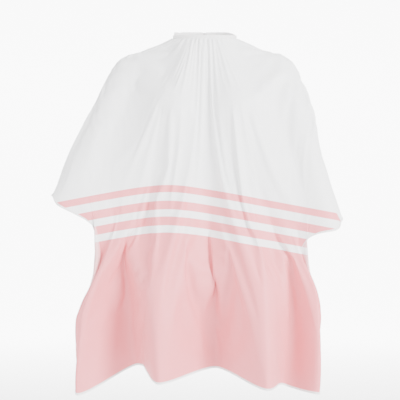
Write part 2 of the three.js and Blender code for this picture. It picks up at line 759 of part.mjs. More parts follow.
const cape = new THREE.Group();
cape.add(
  capeSheet(),
  ...hems(),
  slitFacing("left_slit_facing", -1),
  slitFacing("right_slit_facing", 1),
  neckBand(),
  underTab(),
  overTabSewnEnd(),
  overTab(),
  ...snapPieces("snap_post", postShape, studAngles, UNDER_TAB_OFFSET - TAB_CLEARANCE - POST_FLANGE),
  ...snapPieces("snap_stud", studShape, studAngles, STUD_BASE),
  ...snapPieces("snap_socket", socketShape, socketAngles, SOCKET_BASE),
  ...snapPieces("snap_cap", capShape, socketAngles, CAP_BASE),
);

export default cape;
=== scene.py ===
import math

import bmesh
import bpy
import numpy as np
from mathutils import Matrix, Vector, noise


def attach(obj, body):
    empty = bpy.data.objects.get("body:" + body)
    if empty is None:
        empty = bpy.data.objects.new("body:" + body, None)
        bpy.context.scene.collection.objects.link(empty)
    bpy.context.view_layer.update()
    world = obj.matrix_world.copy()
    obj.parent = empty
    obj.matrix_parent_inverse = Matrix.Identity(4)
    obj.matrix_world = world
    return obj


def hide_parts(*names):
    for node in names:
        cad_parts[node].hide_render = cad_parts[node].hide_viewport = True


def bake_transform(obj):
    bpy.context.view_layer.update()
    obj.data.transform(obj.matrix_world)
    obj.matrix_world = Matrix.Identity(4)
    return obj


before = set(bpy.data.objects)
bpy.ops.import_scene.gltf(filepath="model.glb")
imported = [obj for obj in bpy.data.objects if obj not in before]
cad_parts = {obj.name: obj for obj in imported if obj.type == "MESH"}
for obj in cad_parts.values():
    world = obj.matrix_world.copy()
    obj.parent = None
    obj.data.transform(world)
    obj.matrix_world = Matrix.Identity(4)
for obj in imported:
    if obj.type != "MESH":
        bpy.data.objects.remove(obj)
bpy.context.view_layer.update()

# ---- Sizes, in metres ----

# The flat sheet, measured from the centre of the neck opening
HALF_WIDTH = 0.500
FRONT_LENGTH = 0.833
BACK_LENGTH = 0.367
BLOCK_HEIGHT = 0.320
STRIPE_STACK = 0.108
STRIPE_WIDTH = 0.018
HEM_WIDTH = 0.007
NECK_CUT_RADIUS = 0.084  # the hole is cut larger than the band that gathers it

# The neck opening as the band holds it
NECK_HALF_WIDTH = 0.071
NECK_HALF_DEPTH = 0.062
NECK_LEVEL = 0.004
NECK_TILT = 0.0085
BAND_THICKNESS = 0.0024

# The hanging shape, as in the CAD model
SHOULDER_OUT = 0.200
SHOULDER_DROP = 0.036
CHEST_FORWARD = 0.135
WAIST_FORWARD = 0.180
HEM_FORWARD = 0.188
HEM_DROP = 0.742
HEM_CORNER_DROP = 0.022
BACK_OUT = 0.128
BACK_DROP = 0.262
BACK_CORNER_OUT = 0.285
BACK_CORNER_DROP = 0.430
SLIT_HALF_GAP = 0.004
SLIT_SPREAD = 0.016  # how far each slit edge leans out at the back hem
SLIT_FALL = 1.35  # above 1, the slit leaves the nape more level than it ends

# What differs from side to side: how far the elbow holds the cloth out, forward and down, where
# the side edge turns down into the skirt, and how far out the front corner hangs
SIDES = {
    -1: {"elbow": (0.335, 0.150, 0.377), "skirt_top": (0.233, 0.452), "corner": 0.272},
    1: {"elbow": (0.296, 0.150, 0.431), "skirt_top": (0.212, 0.474), "corner": 0.230},
}

# Folds of the skirt: places across the flat sheet, each with how far the hem there stands to the
# right, back and up from the plain hang
FOLDS = (
    (-0.500, 0.000, 0.015, 0.034),
    (-0.420, -0.020, -0.030, 0.014),
    (-0.280, 0.014, 0.060, 0.040),
    (-0.150, -0.002, -0.060, 0.004),
    (0.000, 0.021, 0.055, 0.018),
    (0.165, 0.042, -0.060, -0.008),
    (0.290, 0.030, 0.040, 0.000),
    (0.400, 0.036, -0.020, 0.012),
    (0.500, 0.000, 0.025, 0.026),
)
FOLDS_START = 0.34  # down the flat sheet

# Folds of the sleeves, between these directions on the flat sheet
SLEEVE_FOLDS_START = (0.95, 1.25)
SLEEVE_FOLDS_END = (2.5, 2.9)
SLEEVE_FOLD_DEPTH = 0.036
SLEEVE_FOLD_COUNT = 17

FRONT_CORNER = math.atan2(HALF_WIDTH, FRONT_LENGTH)
BACK_CORNER = math.atan2(HALF_WIDTH, -BACK_LENGTH)
BLOCK_TOP = FRONT_LENGTH - BLOCK_HEIGHT
STRIPES_TOP = BLOCK_TOP - STRIPE_STACK

FRAMES = 60
GUIDE = 0.25  # how strongly the hem keeps its folds while the cloth settles

# The cloth grid before it is refined
COLUMNS = (48, 44, 22)  # on each half: front, side and back
ROWS = 44

# Cloth, gathers at the neck and creases
SHEET_THICKNESS = 0.0005
GATHER_COUNT = 46
GATHER_DEPTH = 0.0022
GATHER_REACH = 0.030
CREASE_DEPTH = 0.0011
TUCK_HEIGHT = 0.0030
EDGE_INSIDE = 0.35

# The bow of the print: its crown, and how far and over what width it falls to each side
ARCH_TOP = -0.3317
ARCH_CROWN = 0.08
ARCH_LEFT = (0.01484, 0.07)
ARCH_RIGHT = (0.0096, 0.05)
PRINT_STRETCH = 1.05  # sheet to height
PRINT_LEVELS = (0.2, 0.33)  # down the sheet, where the print begins to follow the bow

# Hems and facings
HEM_CLOTH = 0.0017
HEM_ROWS = 7
HEM_OVERHANG = 0.0006
HEM_PUCKER = 0.00012
PUCKER_PITCH = 0.011
FACING_WIDTH = 0.016

# Stitches
STITCH_PITCH = 0.0034
STITCH_LENGTH = 0.0026
THREAD_RADIUS = 0.00026
THREAD_SIDES = 5

# Neck band, tabs and snaps; angles are degrees round the neck from the nape
BAND_FRONT_HEIGHT = 0.009
BAND_BACK_HEIGHT = 0.018
BAND_END_ANGLE = 3
BAND_COLUMNS = 361
TAB_HEIGHT = 0.016
TAB_THICKNESS = 0.0012
TAB_BOTTOM = 0.0012
TAB_CLEARANCE = 0.0003
TAB_ROWS = 9
BAND_ROWS = 9
TIP_ROUNDING = 7  # degrees round the neck
UNDER_TAB_ROOT_ANGLE = 34
UNDER_TAB_RAMP = (24, 8)
UNDER_TAB_END_ANGLE = -44
OVER_TAB_SEWN_ANGLE = -72
OVER_TAB_RAMP = (-60, -46)
OVER_TAB_END_ANGLE = 6
TAB_BEND = 1.6  # degrees on each side of where the over tab leaves the band; the two ends are worked out but the tab is not bent
FIRST_STUD_ANGLE = -3
STUD_PITCH_ANGLE = 11
STUD_COUNT = 4
SOCKET_COUNT = 2
SNAP_RADIUS = 0.0056
SHANK_RADIUS = 0.0016
POST_FLANGE = 0.0008
STUD_FLANGE = 0.0006
STUD_RADIUS = 0.0022
STUD_HEIGHT = 0.0017
SOCKET_DEPTH = 0.0022
CAP_HEIGHT = 0.0018

SEWN_OFFSET = BAND_THICKNESS + TAB_CLEARANCE
UNDER_TAB_OFFSET = SEWN_OFFSET + POST_FLANGE + TAB_CLEARANCE
STUD_BASE = UNDER_TAB_OFFSET + TAB_THICKNESS + TAB_CLEARANCE
SOCKET_BASE = STUD_BASE + STUD_FLANGE + TAB_CLEARANCE
OVER_TAB_OFFSET = SOCKET_BASE + SOCKET_DEPTH + TAB_CLEARANCE
POST_BASE = UNDER_TAB_OFFSET - TAB_CLEARANCE - POST_FLANGE
CAP_BASE = OVER_TAB_OFFSET + TAB_THICKNESS + TAB_CLEARANCE
LATHE_SIDES = 48

# Colours, linear
WHITE = (0.86, 0.86, 0.868)
PINK = (0.80, 0.235, 0.26)
TRIM_WHITE = (0.84, 0.825, 0.825)
THREAD_WHITE = (0.88, 0.86, 0.86)
NICKEL = (0.66, 0.66, 0.64)
THREAD_PITCH = 0.00042  # of the weave

# Studio
FLOOR_LEVEL = -1.30
FLOOR_RADIUS = 5.0
FLOOR_COLUMNS = 73
WALL_CURVE = 2.0
WALL_HEIGHT = 3.0
PAPER_GLOW = 6.5  # of the wall behind the cape
GLOW_BACK = (1.4, 4.4)  # from no glow to full glow, towards the back
GLOW_SIDE = (3.4, 2.2)  # the same, towards the middle
AIR_GLOW = 1.8


# ---- Objects and camera ----

def add_object(name, data):
    obj = bpy.data.objects.new(name, data)
    bpy.context.scene.collection.objects.link(obj)
    return obj


def add_camera():
    data = bpy.data.cameras.new("camera")
    camera = add_object("camera", data)
    distance = 2.4
    front_depth = 0.15
    seen_width = 0.864
    data.sensor_width = 36
    data.lens = data.sensor_width * (distance - front_depth) / seen_width
    camera.location = (-0.011, -distance, -0.366)
    camera.rotation_euler = (math.radians(90), 0, 0)
    bpy.context.scene.camera = camera


add_camera()


# ---- The start of the drape ----

def neck_point(angle, offset):
    normal = Vector((math.sin(angle) / NECK_HALF_WIDTH, -math.cos(angle) / NECK_HALF_DEPTH, 0))
    normal.normalize()
    x = NECK_HALF_WIDTH * math.sin(angle)
    y = -NECK_HALF_DEPTH * math.cos(angle)
    return Vector((x, y, NECK_LEVEL + NECK_TILT * y / NECK_HALF_DEPTH)) + normal * offset


def flat_reach(angle, inset=0):
    length = FRONT_LENGTH if math.cos(angle) > 0 else BACK_LENGTH
    to_side = (HALF_WIDTH - inset) / max(abs(math.sin(angle)), 1e-9)
    to_end = (length - inset) / max(abs(math.cos(angle)), 1e-9)
    return min(to_side, to_end)


def mix(a, b, share):
    return a + (b - a) * share


def hanging_lines(side):
    out, forward, drop = SIDES[side]["elbow"]
    skirt_out, skirt_drop = SIDES[side]["skirt_top"]
    corner_out = SIDES[side]["corner"]

    def at(x, y, z):
        return Vector((side * x, y, z))

    def arm(share):
        return at(mix(SHOULDER_OUT, out, share), -forward * share, -mix(SHOULDER_DROP, drop, share))

    slit = [
        at(
            SLIT_HALF_GAP + SLIT_SPREAD * share * share,
            mix(NECK_HALF_DEPTH, BACK_OUT, math.sin(share * math.pi / 2)),
            mix(NECK_LEVEL, -BACK_DROP, share**SLIT_FALL),
        )
        for share in (0.25, 0.5, 0.75, 1)
    ]
    return [
        (0, [
            at(0, -CHEST_FORWARD, -0.165),
            at(0, -WAIST_FORWARD, -HEM_DROP * 0.47),
            at(0, -HEM_FORWARD, -HEM_DROP * 0.73),
            at(0, -HEM_FORWARD, -HEM_DROP),
        ]),
        (math.atan2(HALF_WIDTH * 0.48, FRONT_LENGTH), [
            at(0.062, -CHEST_FORWARD + 0.008, -0.160),
            at(corner_out * 0.38, -WAIST_FORWARD + 0.004, -HEM_DROP * 0.47),
            at(corner_out * 0.46, -HEM_FORWARD - 0.004, -HEM_DROP * 0.74),
            at(corner_out * 0.52, -HEM_FORWARD - 0.008, -HEM_DROP - HEM_CORNER_DROP / 2),
        ]),
        (FRONT_CORNER, [
            at(0.120, -CHEST_FORWARD + 0.033, -0.130),
            at(skirt_out * 0.86, -(CHEST_FORWARD + WAIST_FORWARD) / 2, -drop * 0.86),
            at(skirt_out * 0.99, -WAIST_FORWARD, -HEM_DROP * 0.73),
            at(corner_out, -WAIST_FORWARD, -HEM_DROP - HEM_CORNER_DROP),
        ]),
        (math.atan2(HALF_WIDTH, BLOCK_TOP), [
            at(SHOULDER_OUT * 0.78, -0.062, -0.072),
            at(SHOULDER_OUT * 1.1, -forward * 0.72, -drop * 0.54),
            at(out * 0.79, -forward * 1.06, -drop * 0.9),
            at(skirt_out, -forward * 1.22, -skirt_drop),
        ]),
        (math.atan2(HALF_WIDTH, STRIPES_TOP), [
            at(SHOULDER_OUT * 0.93, -0.024, -SHOULDER_DROP), arm(0.36), arm(0.7), arm(1),
        ]),
        (math.atan2(HALF_WIDTH, STRIPES_TOP * 0.45), [
            at(SHOULDER_OUT * 0.92, -0.010, -SHOULDER_DROP + 0.004),
            at(SHOULDER_OUT * 1.22, -forward * 0.2, -drop * 0.33),
            at(out * 0.86, -forward * 0.35, -drop * 0.62),
            at(out * 0.95, -forward * 0.5, -drop * 0.93),
        ]),
        (math.pi / 2, [
            at(SHOULDER_OUT * 0.88, 0.006, -SHOULDER_DROP + 0.006),
            at(SHOULDER_OUT * 1.15, 0.010, -drop * 0.28),
            at(out * 0.79, 0.014, -drop * 0.56),
            at(out * 0.88, 0.018, -drop * 0.85),
        ]),
        (BACK_CORNER, [
            at(SHOULDER_OUT * 0.84, BACK_OUT * 0.48, -SHOULDER_DROP - 0.002),
            at(BACK_CORNER_OUT * 0.81, BACK_OUT * 0.72, -BACK_CORNER_DROP * 0.3),
            at(BACK_CORNER_OUT * 0.94, BACK_OUT * 0.86, -BACK_CORNER_DROP * 0.65),
            at(BACK_CORNER_OUT, BACK_OUT * 0.9, -BACK_CORNER_DROP),
        ]),
        (math.atan2(HALF_WIDTH * 0.34, -BACK_LENGTH), [
            at(0.078, BACK_OUT * 0.66, -0.022),
            at(BACK_CORNER_OUT * 0.37, BACK_OUT * 0.87, -BACK_DROP * 0.38),
            at(BACK_CORNER_OUT * 0.44, BACK_OUT * 0.97, -BACK_DROP * 0.73),
            at(BACK_CORNER_OUT * 0.5, BACK_OUT * 1.02, -BACK_DROP * 1.1),
        ]),
        (math.pi, slit),
    ]


LINES = {side: hanging_lines(side) for side in (-1, 1)}


def through(before, start, end, after, share):
    s = share
    slope_in = (end - before) / 2
    slope_out = (after - start) / 2
    return (
        start * (2 * s**3 - 3 * s**2 + 1)
        + slope_in * (s**3 - 2 * s**2 + s)
        + end * (3 * s**2 - 2 * s**3)
        + slope_out * (s**3 - s**2)
    )


def along(start, places, share):
    points = [start, *places]
    last = len(points) - 1
    step = min(int(share * last), last - 1)
    return through(
        points[max(step - 1, 0)],
        points[step],
        points[step + 1],
        points[min(step + 2, last)],
        share * last - step,
    )


def drape_point(angle, share):
    lines = LINES[-1 if angle < 0 else 1]
    turn = min(abs(angle), math.pi)
    start = neck_point(angle, BAND_THICKNESS + 0.001)
    last = len(lines) - 1
    step = 0
    while step < last - 1 and turn > lines[step + 1][0]:
        step += 1

    def place(index):
        return along(start, lines[min(index, last)][1], share)

    if step:
        before = place(step - 1)
    else:
        other = place(1)
        before = Vector((-other.x, other.y, other.z))
    part = (turn - lines[step][0]) / (lines[step + 1][0] - lines[step][0])
    point = through(before, place(step), place(step + 1), place(step + 2), part)
    return point + skirt_fold(angle, share) + sleeve_fold(angle, share)


def ease(value, low, high):
    part = min(max((value - low) / (high - low), 0), 1)
    return part * part * (3 - 2 * part)


def flat_place(angle, share):
    distance = mix(NECK_CUT_RADIUS, flat_reach(angle), share)
    return distance * math.sin(angle), distance * math.cos(angle)


def skirt_fold(angle, share):
    across, down = flat_place(angle, share)
    growth = ease(down, FOLDS_START, FRONT_LENGTH)
    for low, high in zip(FOLDS, FOLDS[1:]):
        if across <= high[0] or high is FOLDS[-1]:
            wave = ease(across, low[0], high[0])
            return growth * Vector(low[1:]).lerp(Vector(high[1:]), wave)


def sleeve_fold(angle, share):
    """Folds that hang off the upper arms and the shoulder blades."""
    turn = abs(angle)
    window = ease(turn, *SLEEVE_FOLDS_START) * (1 - ease(turn, *SLEEVE_FOLDS_END))
    depth = SLEEVE_FOLD_DEPTH * window * share**1.5 * math.cos(SLEEVE_FOLD_COUNT * turn)
    return Vector((math.sin(angle), -math.cos(angle), 0)) * depth


# ---- Wearer's shape, used only to hang the cloth on ----

def limb(points, steps=14):
    """Balls from point to point, each (place, radius)."""
    balls = []
    for (a, ra), (b, rb) in zip(points, points[1:]):
        for step in range(steps + 1):
            share = step / steps
            balls.append((Vector(a).lerp(Vector(b), share), mix(ra, rb, share)))
    return balls


def wearer():
    balls = []
    balls += limb([((0, 0, 0.03), 0.052), ((0, 0, -0.07), 0.056)])
    for side in (-1, 1):
        out, forward, drop = SIDES[side]["elbow"]
        shoulder = (side * 0.172, 0.004, -0.078)
        elbow = (side * (out - 0.030), -forward + 0.018, -drop - 0.003)
        hand = (side * 0.110, -0.100, -drop - 0.100)
        balls += limb([((side * 0.030, 0.012, -0.045), 0.050), (shoulder, 0.039)])
        balls += limb([(shoulder, 0.039), (elbow, 0.032)], 22)
        balls += limb([(elbow, 0.034), (hand, 0.034)], 22)
        balls += limb([((side * 0.075, 0.025, -0.125), 0.085), ((side * 0.060, 0.010, -0.420), 0.080)])
        balls += limb([((side * 0.070, -0.040, -0.165), 0.072), ((side * 0.060, -0.035, -0.200), 0.070)])
        balls += limb([((side * 0.060, 0.0, -0.420), 0.080), ((side * 0.080, 0.0, -0.800), 0.080)])
    bm = bmesh.new()
    for place, radius in balls:
        bmesh.ops.create_icosphere(bm, subdivisions=2, radius=radius, matrix=Matrix.Translation(place))
    mesh = bpy.data.meshes.new("wearer")
    bm.to_mesh(mesh)
    bm.free()
    obj = add_object("wearer", mesh)
    remesh = obj.modifiers.new("remesh", "REMESH")
    remesh.mode = "VOXEL"
    remesh.voxel_size = 0.009
    smooth = obj.modifiers.new("smooth", "SMOOTH")
    smooth.iterations = 6
    return obj


# ---- Cloth ----

def cut_edge(angle):
    reach = flat_reach(angle)
    return Vector((reach * math.sin(angle), reach * math.cos(angle)))


def column_angles():
    """Directions of the columns, in even steps along the cut edge and not in angle."""
    corners = (0, FRONT_CORNER, BACK_CORNER, math.pi)
    half = [0.0]
    for low, high, count in zip(corners, corners[1:], COLUMNS):
        a, b = cut_edge(low + 1e-9), cut_edge(high - 1e-9)
        for step in range(1, count + 1):
            p = a.lerp(b, step / count)
            half.append(math.atan2(p.x, p.y))
    half[-1] = math.pi
    return [-a for a in reversed(half[1:])] + half


def build_cloth():
    angles = column_angles()
    shares = [(row / (ROWS - 1)) for row in range(ROWS)]
    verts, flats = [], []
    for angle in angles:
        reach = flat_reach(angle)
        hem_reach = flat_reach(angle, HEM_WIDTH)
        hem_share = (hem_reach - NECK_CUT_RADIUS) / (reach - NECK_CUT_RADIUS)
        row_shares = [s * hem_share for s in shares] + [1.0]
        for share in row_shares:
            distance = mix(NECK_CUT_RADIUS, reach, share)
            flats.append(Vector((distance * math.sin(angle), -distance * math.cos(angle), 0)))
            verts.append(drape_point(angle, share))
    rows = ROWS + 1
    faces = []
    for column in range(len(angles) - 1):
        for row in range(rows - 1):
            a = column * rows + row
            faces.append((a, a + 1, a + rows + 1, a + rows))
    mesh = bpy.data.meshes.new("cape_cloth")
    mesh.from_pydata(verts, [], faces)
    obj = add_object("cape_cloth", mesh)
    layer = mesh.uv_layers.new(name="flat")
    index = np.empty(len(mesh.loops), dtype=np.int32)
    mesh.loops.foreach_get("vertex_index", index)
    places = np.array([(p.x, p.y) for p in flats], dtype=np.float32)
    layer.uv.foreach_set("vector", places[index].ravel())
    return obj, flats, rows, len(angles)


def drape(obj, flats, rows, columns, body):
    obj.shape_key_add(name="Basis")
    flat_key = obj.shape_key_add(name="flat")
    for key, place in zip(flat_key.data, flats):
        key.co = place
    flat_key.value = 0
    pins = obj.vertex_groups.new(name="pins")
    pins.add([column * rows for column in range(columns)], 1.0, "REPLACE")
    for index, place in enumerate(flats):
        if index % rows:
            hold = GUIDE * ease(-place.y, FOLDS_START, FRONT_LENGTH)
            pins.add([index], hold, "REPLACE")
    body.modifiers.new("collision", "COLLISION")
    body.collision.thickness_outer = 0.003
    body.collision.cloth_friction = 12
    body.collision.damping = 0.6
    cloth = obj.modifiers.new("cloth", "CLOTH")
    settings = cloth.settings
    settings.rest_shape_key = flat_key
    settings.vertex_group_mass = "pins"
    settings.quality = 7
    settings.mass = 0.12
    settings.air_damping = 2.0
    settings.tension_stiffness = 25
    settings.compression_stiffness = 80
    settings.shear_stiffness = 8
    settings.bending_stiffness = 0.6
    settings.tension_damping = 8
    settings.compression_damping = 8
    settings.shear_damping = 8
    settings.bending_damping = 0.8
    cloth.collision_settings.collision_quality = 3
    cloth.collision_settings.distance_min = 0.003
    cloth.collision_settings.use_self_collision = False
    cloth.point_cache.frame_start = 1
    cloth.point_cache.frame_end = FRAMES
    scene = bpy.context.scene
    for number in range(1, FRAMES + 1):
        scene.frame_set(number)
    depsgraph = bpy.context.evaluated_depsgraph_get()
    evaluated = obj.evaluated_get(depsgraph).to_mesh()
    places = np.empty(len(evaluated.vertices) * 3, dtype=np.float32)
    evaluated.vertices.foreach_get("co", places)
    obj.evaluated_get(depsgraph).to_mesh_clear()
    scene.frame_set(1)
    obj.modifiers.clear()
    obj.shape_key_clear()
    obj.vertex_groups.clear()
    obj.data.vertices.foreach_set("co", places)
    obj.data.update()


# ---- Surfaces from grids of places ----

def refine(grid, straight=False):
    """The grid with a place added between each two, along both directions."""
    for axis in (0, 1):
        grid = np.swapaxes(grid, 0, axis)
        before = np.concatenate((grid[:1], grid[:-1]))
        after = np.concatenate((grid[2:], grid[-1:]))
        middle = (grid[:-1] + grid[1:]) / 2
        if not straight:
            middle = middle * 9 / 8 - (before[:-1] + after) / 16
        finer = np.empty((len(grid) * 2 - 1, *grid.shape[1:]))
        finer[0::2] = grid
        finer[1::2] = middle
        grid = np.swapaxes(finer, 0, axis)
    return grid


def unit(vectors):
    return vectors / np.maximum(np.linalg.norm(vectors, axis=-1, keepdims=True), 1e-9)


def grid_normals(grid):
    return unit(np.cross(np.gradient(grid, axis=1), np.gradient(grid, axis=0)))


def new_object(name, places, faces):
    mesh = bpy.data.meshes.new(name)
    mesh.from_pydata([tuple(p) for p in places], [], faces)
    obj = add_object(name, mesh)
    mesh.shade_smooth()
    return obj


def add_uv(obj, name, coords):
    """A UV map with one pair of coordinates for each vertex."""
    mesh = obj.data
    index = np.empty(len(mesh.loops), dtype=np.int32)
    mesh.loops.foreach_get("vertex_index", index)
    layer = mesh.uv_layers.new(name=name)
    layer.uv.foreach_set("vector", np.asarray(coords, dtype=np.float32)[index].ravel())


def grid_faces(columns, rows, closed=False):
    """Quads of a grid stored column by column; a closed one joins its last row to its first."""
    faces = []
    for column in range(columns - 1):
        for row in range(rows if closed else rows - 1):
            a = column * rows + row
            b = column * rows + (row + 1) % rows
            faces.append((a, b, b + rows, a + rows))
    return faces


def cloth_strip(name, places, normals, thickness, along):
    """A closed strip of folded cloth with rounded sides, over a grid of places (length, width).

    `along` gives each column's distance along the strip, for its UV map and the weave drawn on it."""
    length, width = places.shape[:2]
    across = np.linspace(-1, 1, width)
    height = thickness / 2 * np.clip(1.15 - across**6, 0.3, 1)[None, :, None]
    outer = places + normals * height
    inner = places - normals * height
    ring = np.concatenate((outer, inner[:, ::-1]), axis=1)
    sides = width * 2
    faces = grid_faces(length, sides, closed=True)
    faces.append(tuple(range(sides)))
    faces.append(tuple(reversed(range((length - 1) * sides, length * sides))))
    obj = new_object(name, ring.reshape(-1, 3), faces)
    breadth = np.cumsum(np.linalg.norm(np.diff(places[length // 2], axis=0), axis=1))
    breadth = np.concatenate(([0], breadth))
    coords = np.empty((length, sides, 2))
    coords[:, :, 0] = along[:, None]
    coords[:, :, 1] = np.concatenate((breadth, breadth[::-1]))[None]
    add_uv(obj, "strip", coords.reshape(-1, 2))
    fix_normals(obj)
    return obj


def fix_normals(obj):
    bm = bmesh.new()
    bm.from_mesh(obj.data)
    bmesh.ops.recalc_face_normals(bm, faces=bm.faces)
    bm.to_mesh(obj.data)
    bm.free()


def run_lengths(path):
    steps = np.linalg.norm(np.diff(path, axis=0), axis=1)
    return np.concatenate(([0], np.cumsum(steps)))


# ---- Stitches ----

def stitch_row(path, normals):
    """Places and directions of the stitches along a path: (start, middle, end, normal) of each."""
    lengths = run_lengths(path)
    count = int((lengths[-1] - STITCH_LENGTH) / STITCH_PITCH)

    def at(distance, values):
        return np.array([np.interp(distance, lengths, values[:, axis]) for axis in range(3)])

    stitches = []
    for number in range(count):
        start = (number + 0.2) * STITCH_PITCH
        spots = [at(start + STITCH_LENGTH * share, path) for share in (0, 0.5, 1)]
        stitches.append((*spots, unit(at(start, normals))))
    return stitches


def stitching(name, stitches):
    """One object that holds a row or more of stitches, each a short thread that dips into the
    cloth at both ends."""
    places, faces = [], []
    turns = [2 * math.pi * side / THREAD_SIDES for side in range(THREAD_SIDES)]
    for start, middle, end, normal in stitches:
        direction = unit(end - start)
        aside = np.cross(direction, normal)
        first = len(places)
        for spot, lift, swell in ((start, -0.4, 0.7), (middle, 0.75, 1.0), (end, -0.4, 0.7)):
            centre = spot + normal * lift * THREAD_RADIUS
            for turn in turns:
                ring = aside * math.cos(turn) + normal * math.sin(turn)
                places.append(centre + ring * THREAD_RADIUS * swell)
        for ring in (0, 1):
            for side in range(THREAD_SIDES):
                a = first + ring * THREAD_SIDES + side
                b = first + ring * THREAD_SIDES + (side + 1) % THREAD_SIDES
                faces.append((a, b, b + THREAD_SIDES, a + THREAD_SIDES))
        last = first + 2 * THREAD_SIDES
        faces.append(tuple(first + side for side in reversed(range(THREAD_SIDES))))
        faces.append(tuple(last + side for side in range(THREAD_SIDES)))
    obj = new_object(name, places, faces)
    fix_normals(obj)
    return obj


# ---- The cape sheet ----

def stripe_arch(x):
    """Height of the first stripe's upper edge: level at the chest, falling towards both arms."""
    from_crown = x + ARCH_CROWN
    fall, spread = (np.where(from_crown < 0, a, b) for a, b in zip(ARCH_LEFT, ARCH_RIGHT))
    return ARCH_TOP - fall * (np.sqrt(1 + (from_crown / spread) ** 2) - 1)


def smooth_share(values, low, high):
    part = np.clip((values - low) / (high - low), 0, 1)
    return part * part * (3 - 2 * part)


def print_coords(places, flats):
    """Where the printed stripes lie: level bands in front, the sheet's own rows behind."""
    down = flats[..., 1]
    level = STRIPES_TOP + (stripe_arch(places[..., 0]) - places[..., 2]) * PRINT_STRETCH
    share = smooth_share(down, *PRINT_LEVELS)
    return np.stack((flats[..., 0], down + (level - down) * share), axis=-1)


def gathers(flats):
    """Small pleats below the neck band, and the longer ripples that run on from them."""
    distance = np.hypot(flats[..., 0], flats[..., 1]) - NECK_CUT_RADIUS
    angle = np.arctan2(flats[..., 0], flats[..., 1])
    near = np.exp(-distance / GATHER_REACH) * smooth_share(distance, 0, 0.006)
    far = np.exp(-distance / (GATHER_REACH * 3.5)) * smooth_share(distance, 0.004, 0.03)
    uneven = 1 + 0.45 * np.sin(angle * 7 + 1.3) * np.sin(angle * 11 + 0.4)
    pleats = np.cos(GATHER_COUNT * angle + 1.4 * np.sin(angle * 5)) * uneven
    ripples = np.cos(17 * angle + 1.1 * np.sin(angle * 3 + 0.7))
    ripples += 0.5 * np.cos(29 * angle + 1.7)
    return GATHER_DEPTH * (near * pleats + 0.7 * far * ripples)


def creases(flats):
    """Soft creases left by packing, and shallow waves of a light cloth."""
    depth = np.empty(flats.shape[:2])
    for column, row in np.ndindex(depth.shape):
        x, y = flats[column, row]
        broad = noise.noise(Vector((x * 7, y * 5, 2.1)))
        fine = noise.noise(Vector((x * 19 + 4, y * 13, 7.7)))
        ridge = 1 - abs(noise.noise(Vector((x * 9 + 1.5, y * 8 - 3, 5.2)))) * 5
        depth[column, row] = broad + 0.35 * fine + 0.45 * max(ridge, 0)
    return CREASE_DEPTH * depth


def settled_grids():
    """The draped cloth as fine grids: places, normals, and flat places as (across, down)."""
    cloth, flats, rows, columns = build_cloth()
    body = wearer()
    drape(cloth, flats, rows, columns, body)
    places = np.empty(rows * columns * 3)
    cloth.data.vertices.foreach_get("co", places)
    bpy.data.objects.remove(body)
    bpy.data.objects.remove(cloth)
    places = refine(places.reshape(columns, rows, 3))
    flat = np.array([(p.x, -p.y) for p in flats]).reshape(columns, rows, 2)
    flat = refine(flat, straight=True)
    normals = grid_normals(places)
    if (normals[len(normals) // 2, -1] @ np.array((0, -1, 0))) < 0:
        normals = -normals
    places = places + normals * (gathers(flat) + creases(flat))[..., None]
    return places, grid_normals_like(places, normals), flat


def grid_normals_like(places, model):
    normals = grid_normals(places)
    turned = np.sign((normals * model).sum(axis=-1, keepdims=True))
    return normals * np.where(turned == 0, 1, turned)


def make_sheet(places, normals, flat):
    """The cape's one sheet. Its neck edge is tucked up into the band, and its outer edge ends
    inside the hems."""
    count = len(places)
    angles = np.arctan2(flat[:, 0, 0], flat[:, 0, 1])
    tuck = np.array([neck_point(a, BAND_THICKNESS / 2) for a in angles])
    tuck[:, 2] += TUCK_HEIGHT
    edge = places[:, -1] + (places[:, -2] - places[:, -1]) * EDGE_INSIDE
    grid = np.concatenate((tuck[:, None], places[:, :-1], edge[:, None]), axis=1)
    rows = grid.shape[1]
    obj = new_object("cape_sheet_cloth", grid.reshape(-1, 3), grid_faces(count, rows))
    flats = np.concatenate((flat[:, :1], flat), axis=1)
    add_uv(obj, "flat", flats.reshape(-1, 2))
    add_uv(obj, "print", print_coords(grid, flats).reshape(-1, 2))
    face_outwards(obj, normals[count // 2, rows // 2])
    solid = obj.modifiers.new("thickness", "SOLIDIFY")
    solid.thickness = SHEET_THICKNESS
    solid.offset = 0
    solid.material_offset = 1
    solid.material_offset_rim = 0
    return obj


def face_outwards(obj, outward):
    """Turns all faces over if the one nearest the middle of the list faces inwards."""
    mesh = obj.data
    middle = mesh.polygons[len(mesh.polygons) // 2]
    if middle.normal.dot(Vector(outward)) < 0:
        mesh.flip_normals()


# ---- Hems and facings ----

def zone_columns():
    """First and last column of each hem, on the fine grid."""
    front, side, back = (2 * count for count in COLUMNS)
    middle = front + side + back
    return {
        "left_back_hem": (0, back),
        "left_side_hem": (back, back + side),
        "front_hem": (middle - front, middle + front),
        "right_side_hem": (middle + front, middle + front + side),
        "right_back_hem": (middle + front + side, 2 * middle),
    }


def make_hem(name, places, normals, first, last):
    inner = places[first : last + 1, -3]
    middle = places[first : last + 1, -2]
    edge = places[first : last + 1, -1]
    edge = edge + unit(edge - middle) * HEM_OVERHANG
    shares = np.linspace(0, 1, HEM_ROWS)[None, :, None]
    control = 2 * middle - (inner + edge) / 2
    strip = (
        inner[:, None] * (1 - shares) ** 2
        + control[:, None] * 2 * shares * (1 - shares)
        + edge[:, None] * shares**2
    )
    outward = np.repeat(normals[first : last + 1, -2][:, None], HEM_ROWS, axis=1)
    along = run_lengths(edge)
    pucker = HEM_PUCKER * np.sin(along * 2 * math.pi / PUCKER_PITCH + 1.3 * np.sin(along * 40))
    strip = strip + outward * pucker[:, None, None] * (1 - shares)
    obj = cloth_strip(name, strip, outward, HEM_CLOTH, along)
    seam = strip[:, 1] + outward[:, 1] * HEM_CLOTH / 2
    return obj, stitch_row(seam, outward[:, 1])


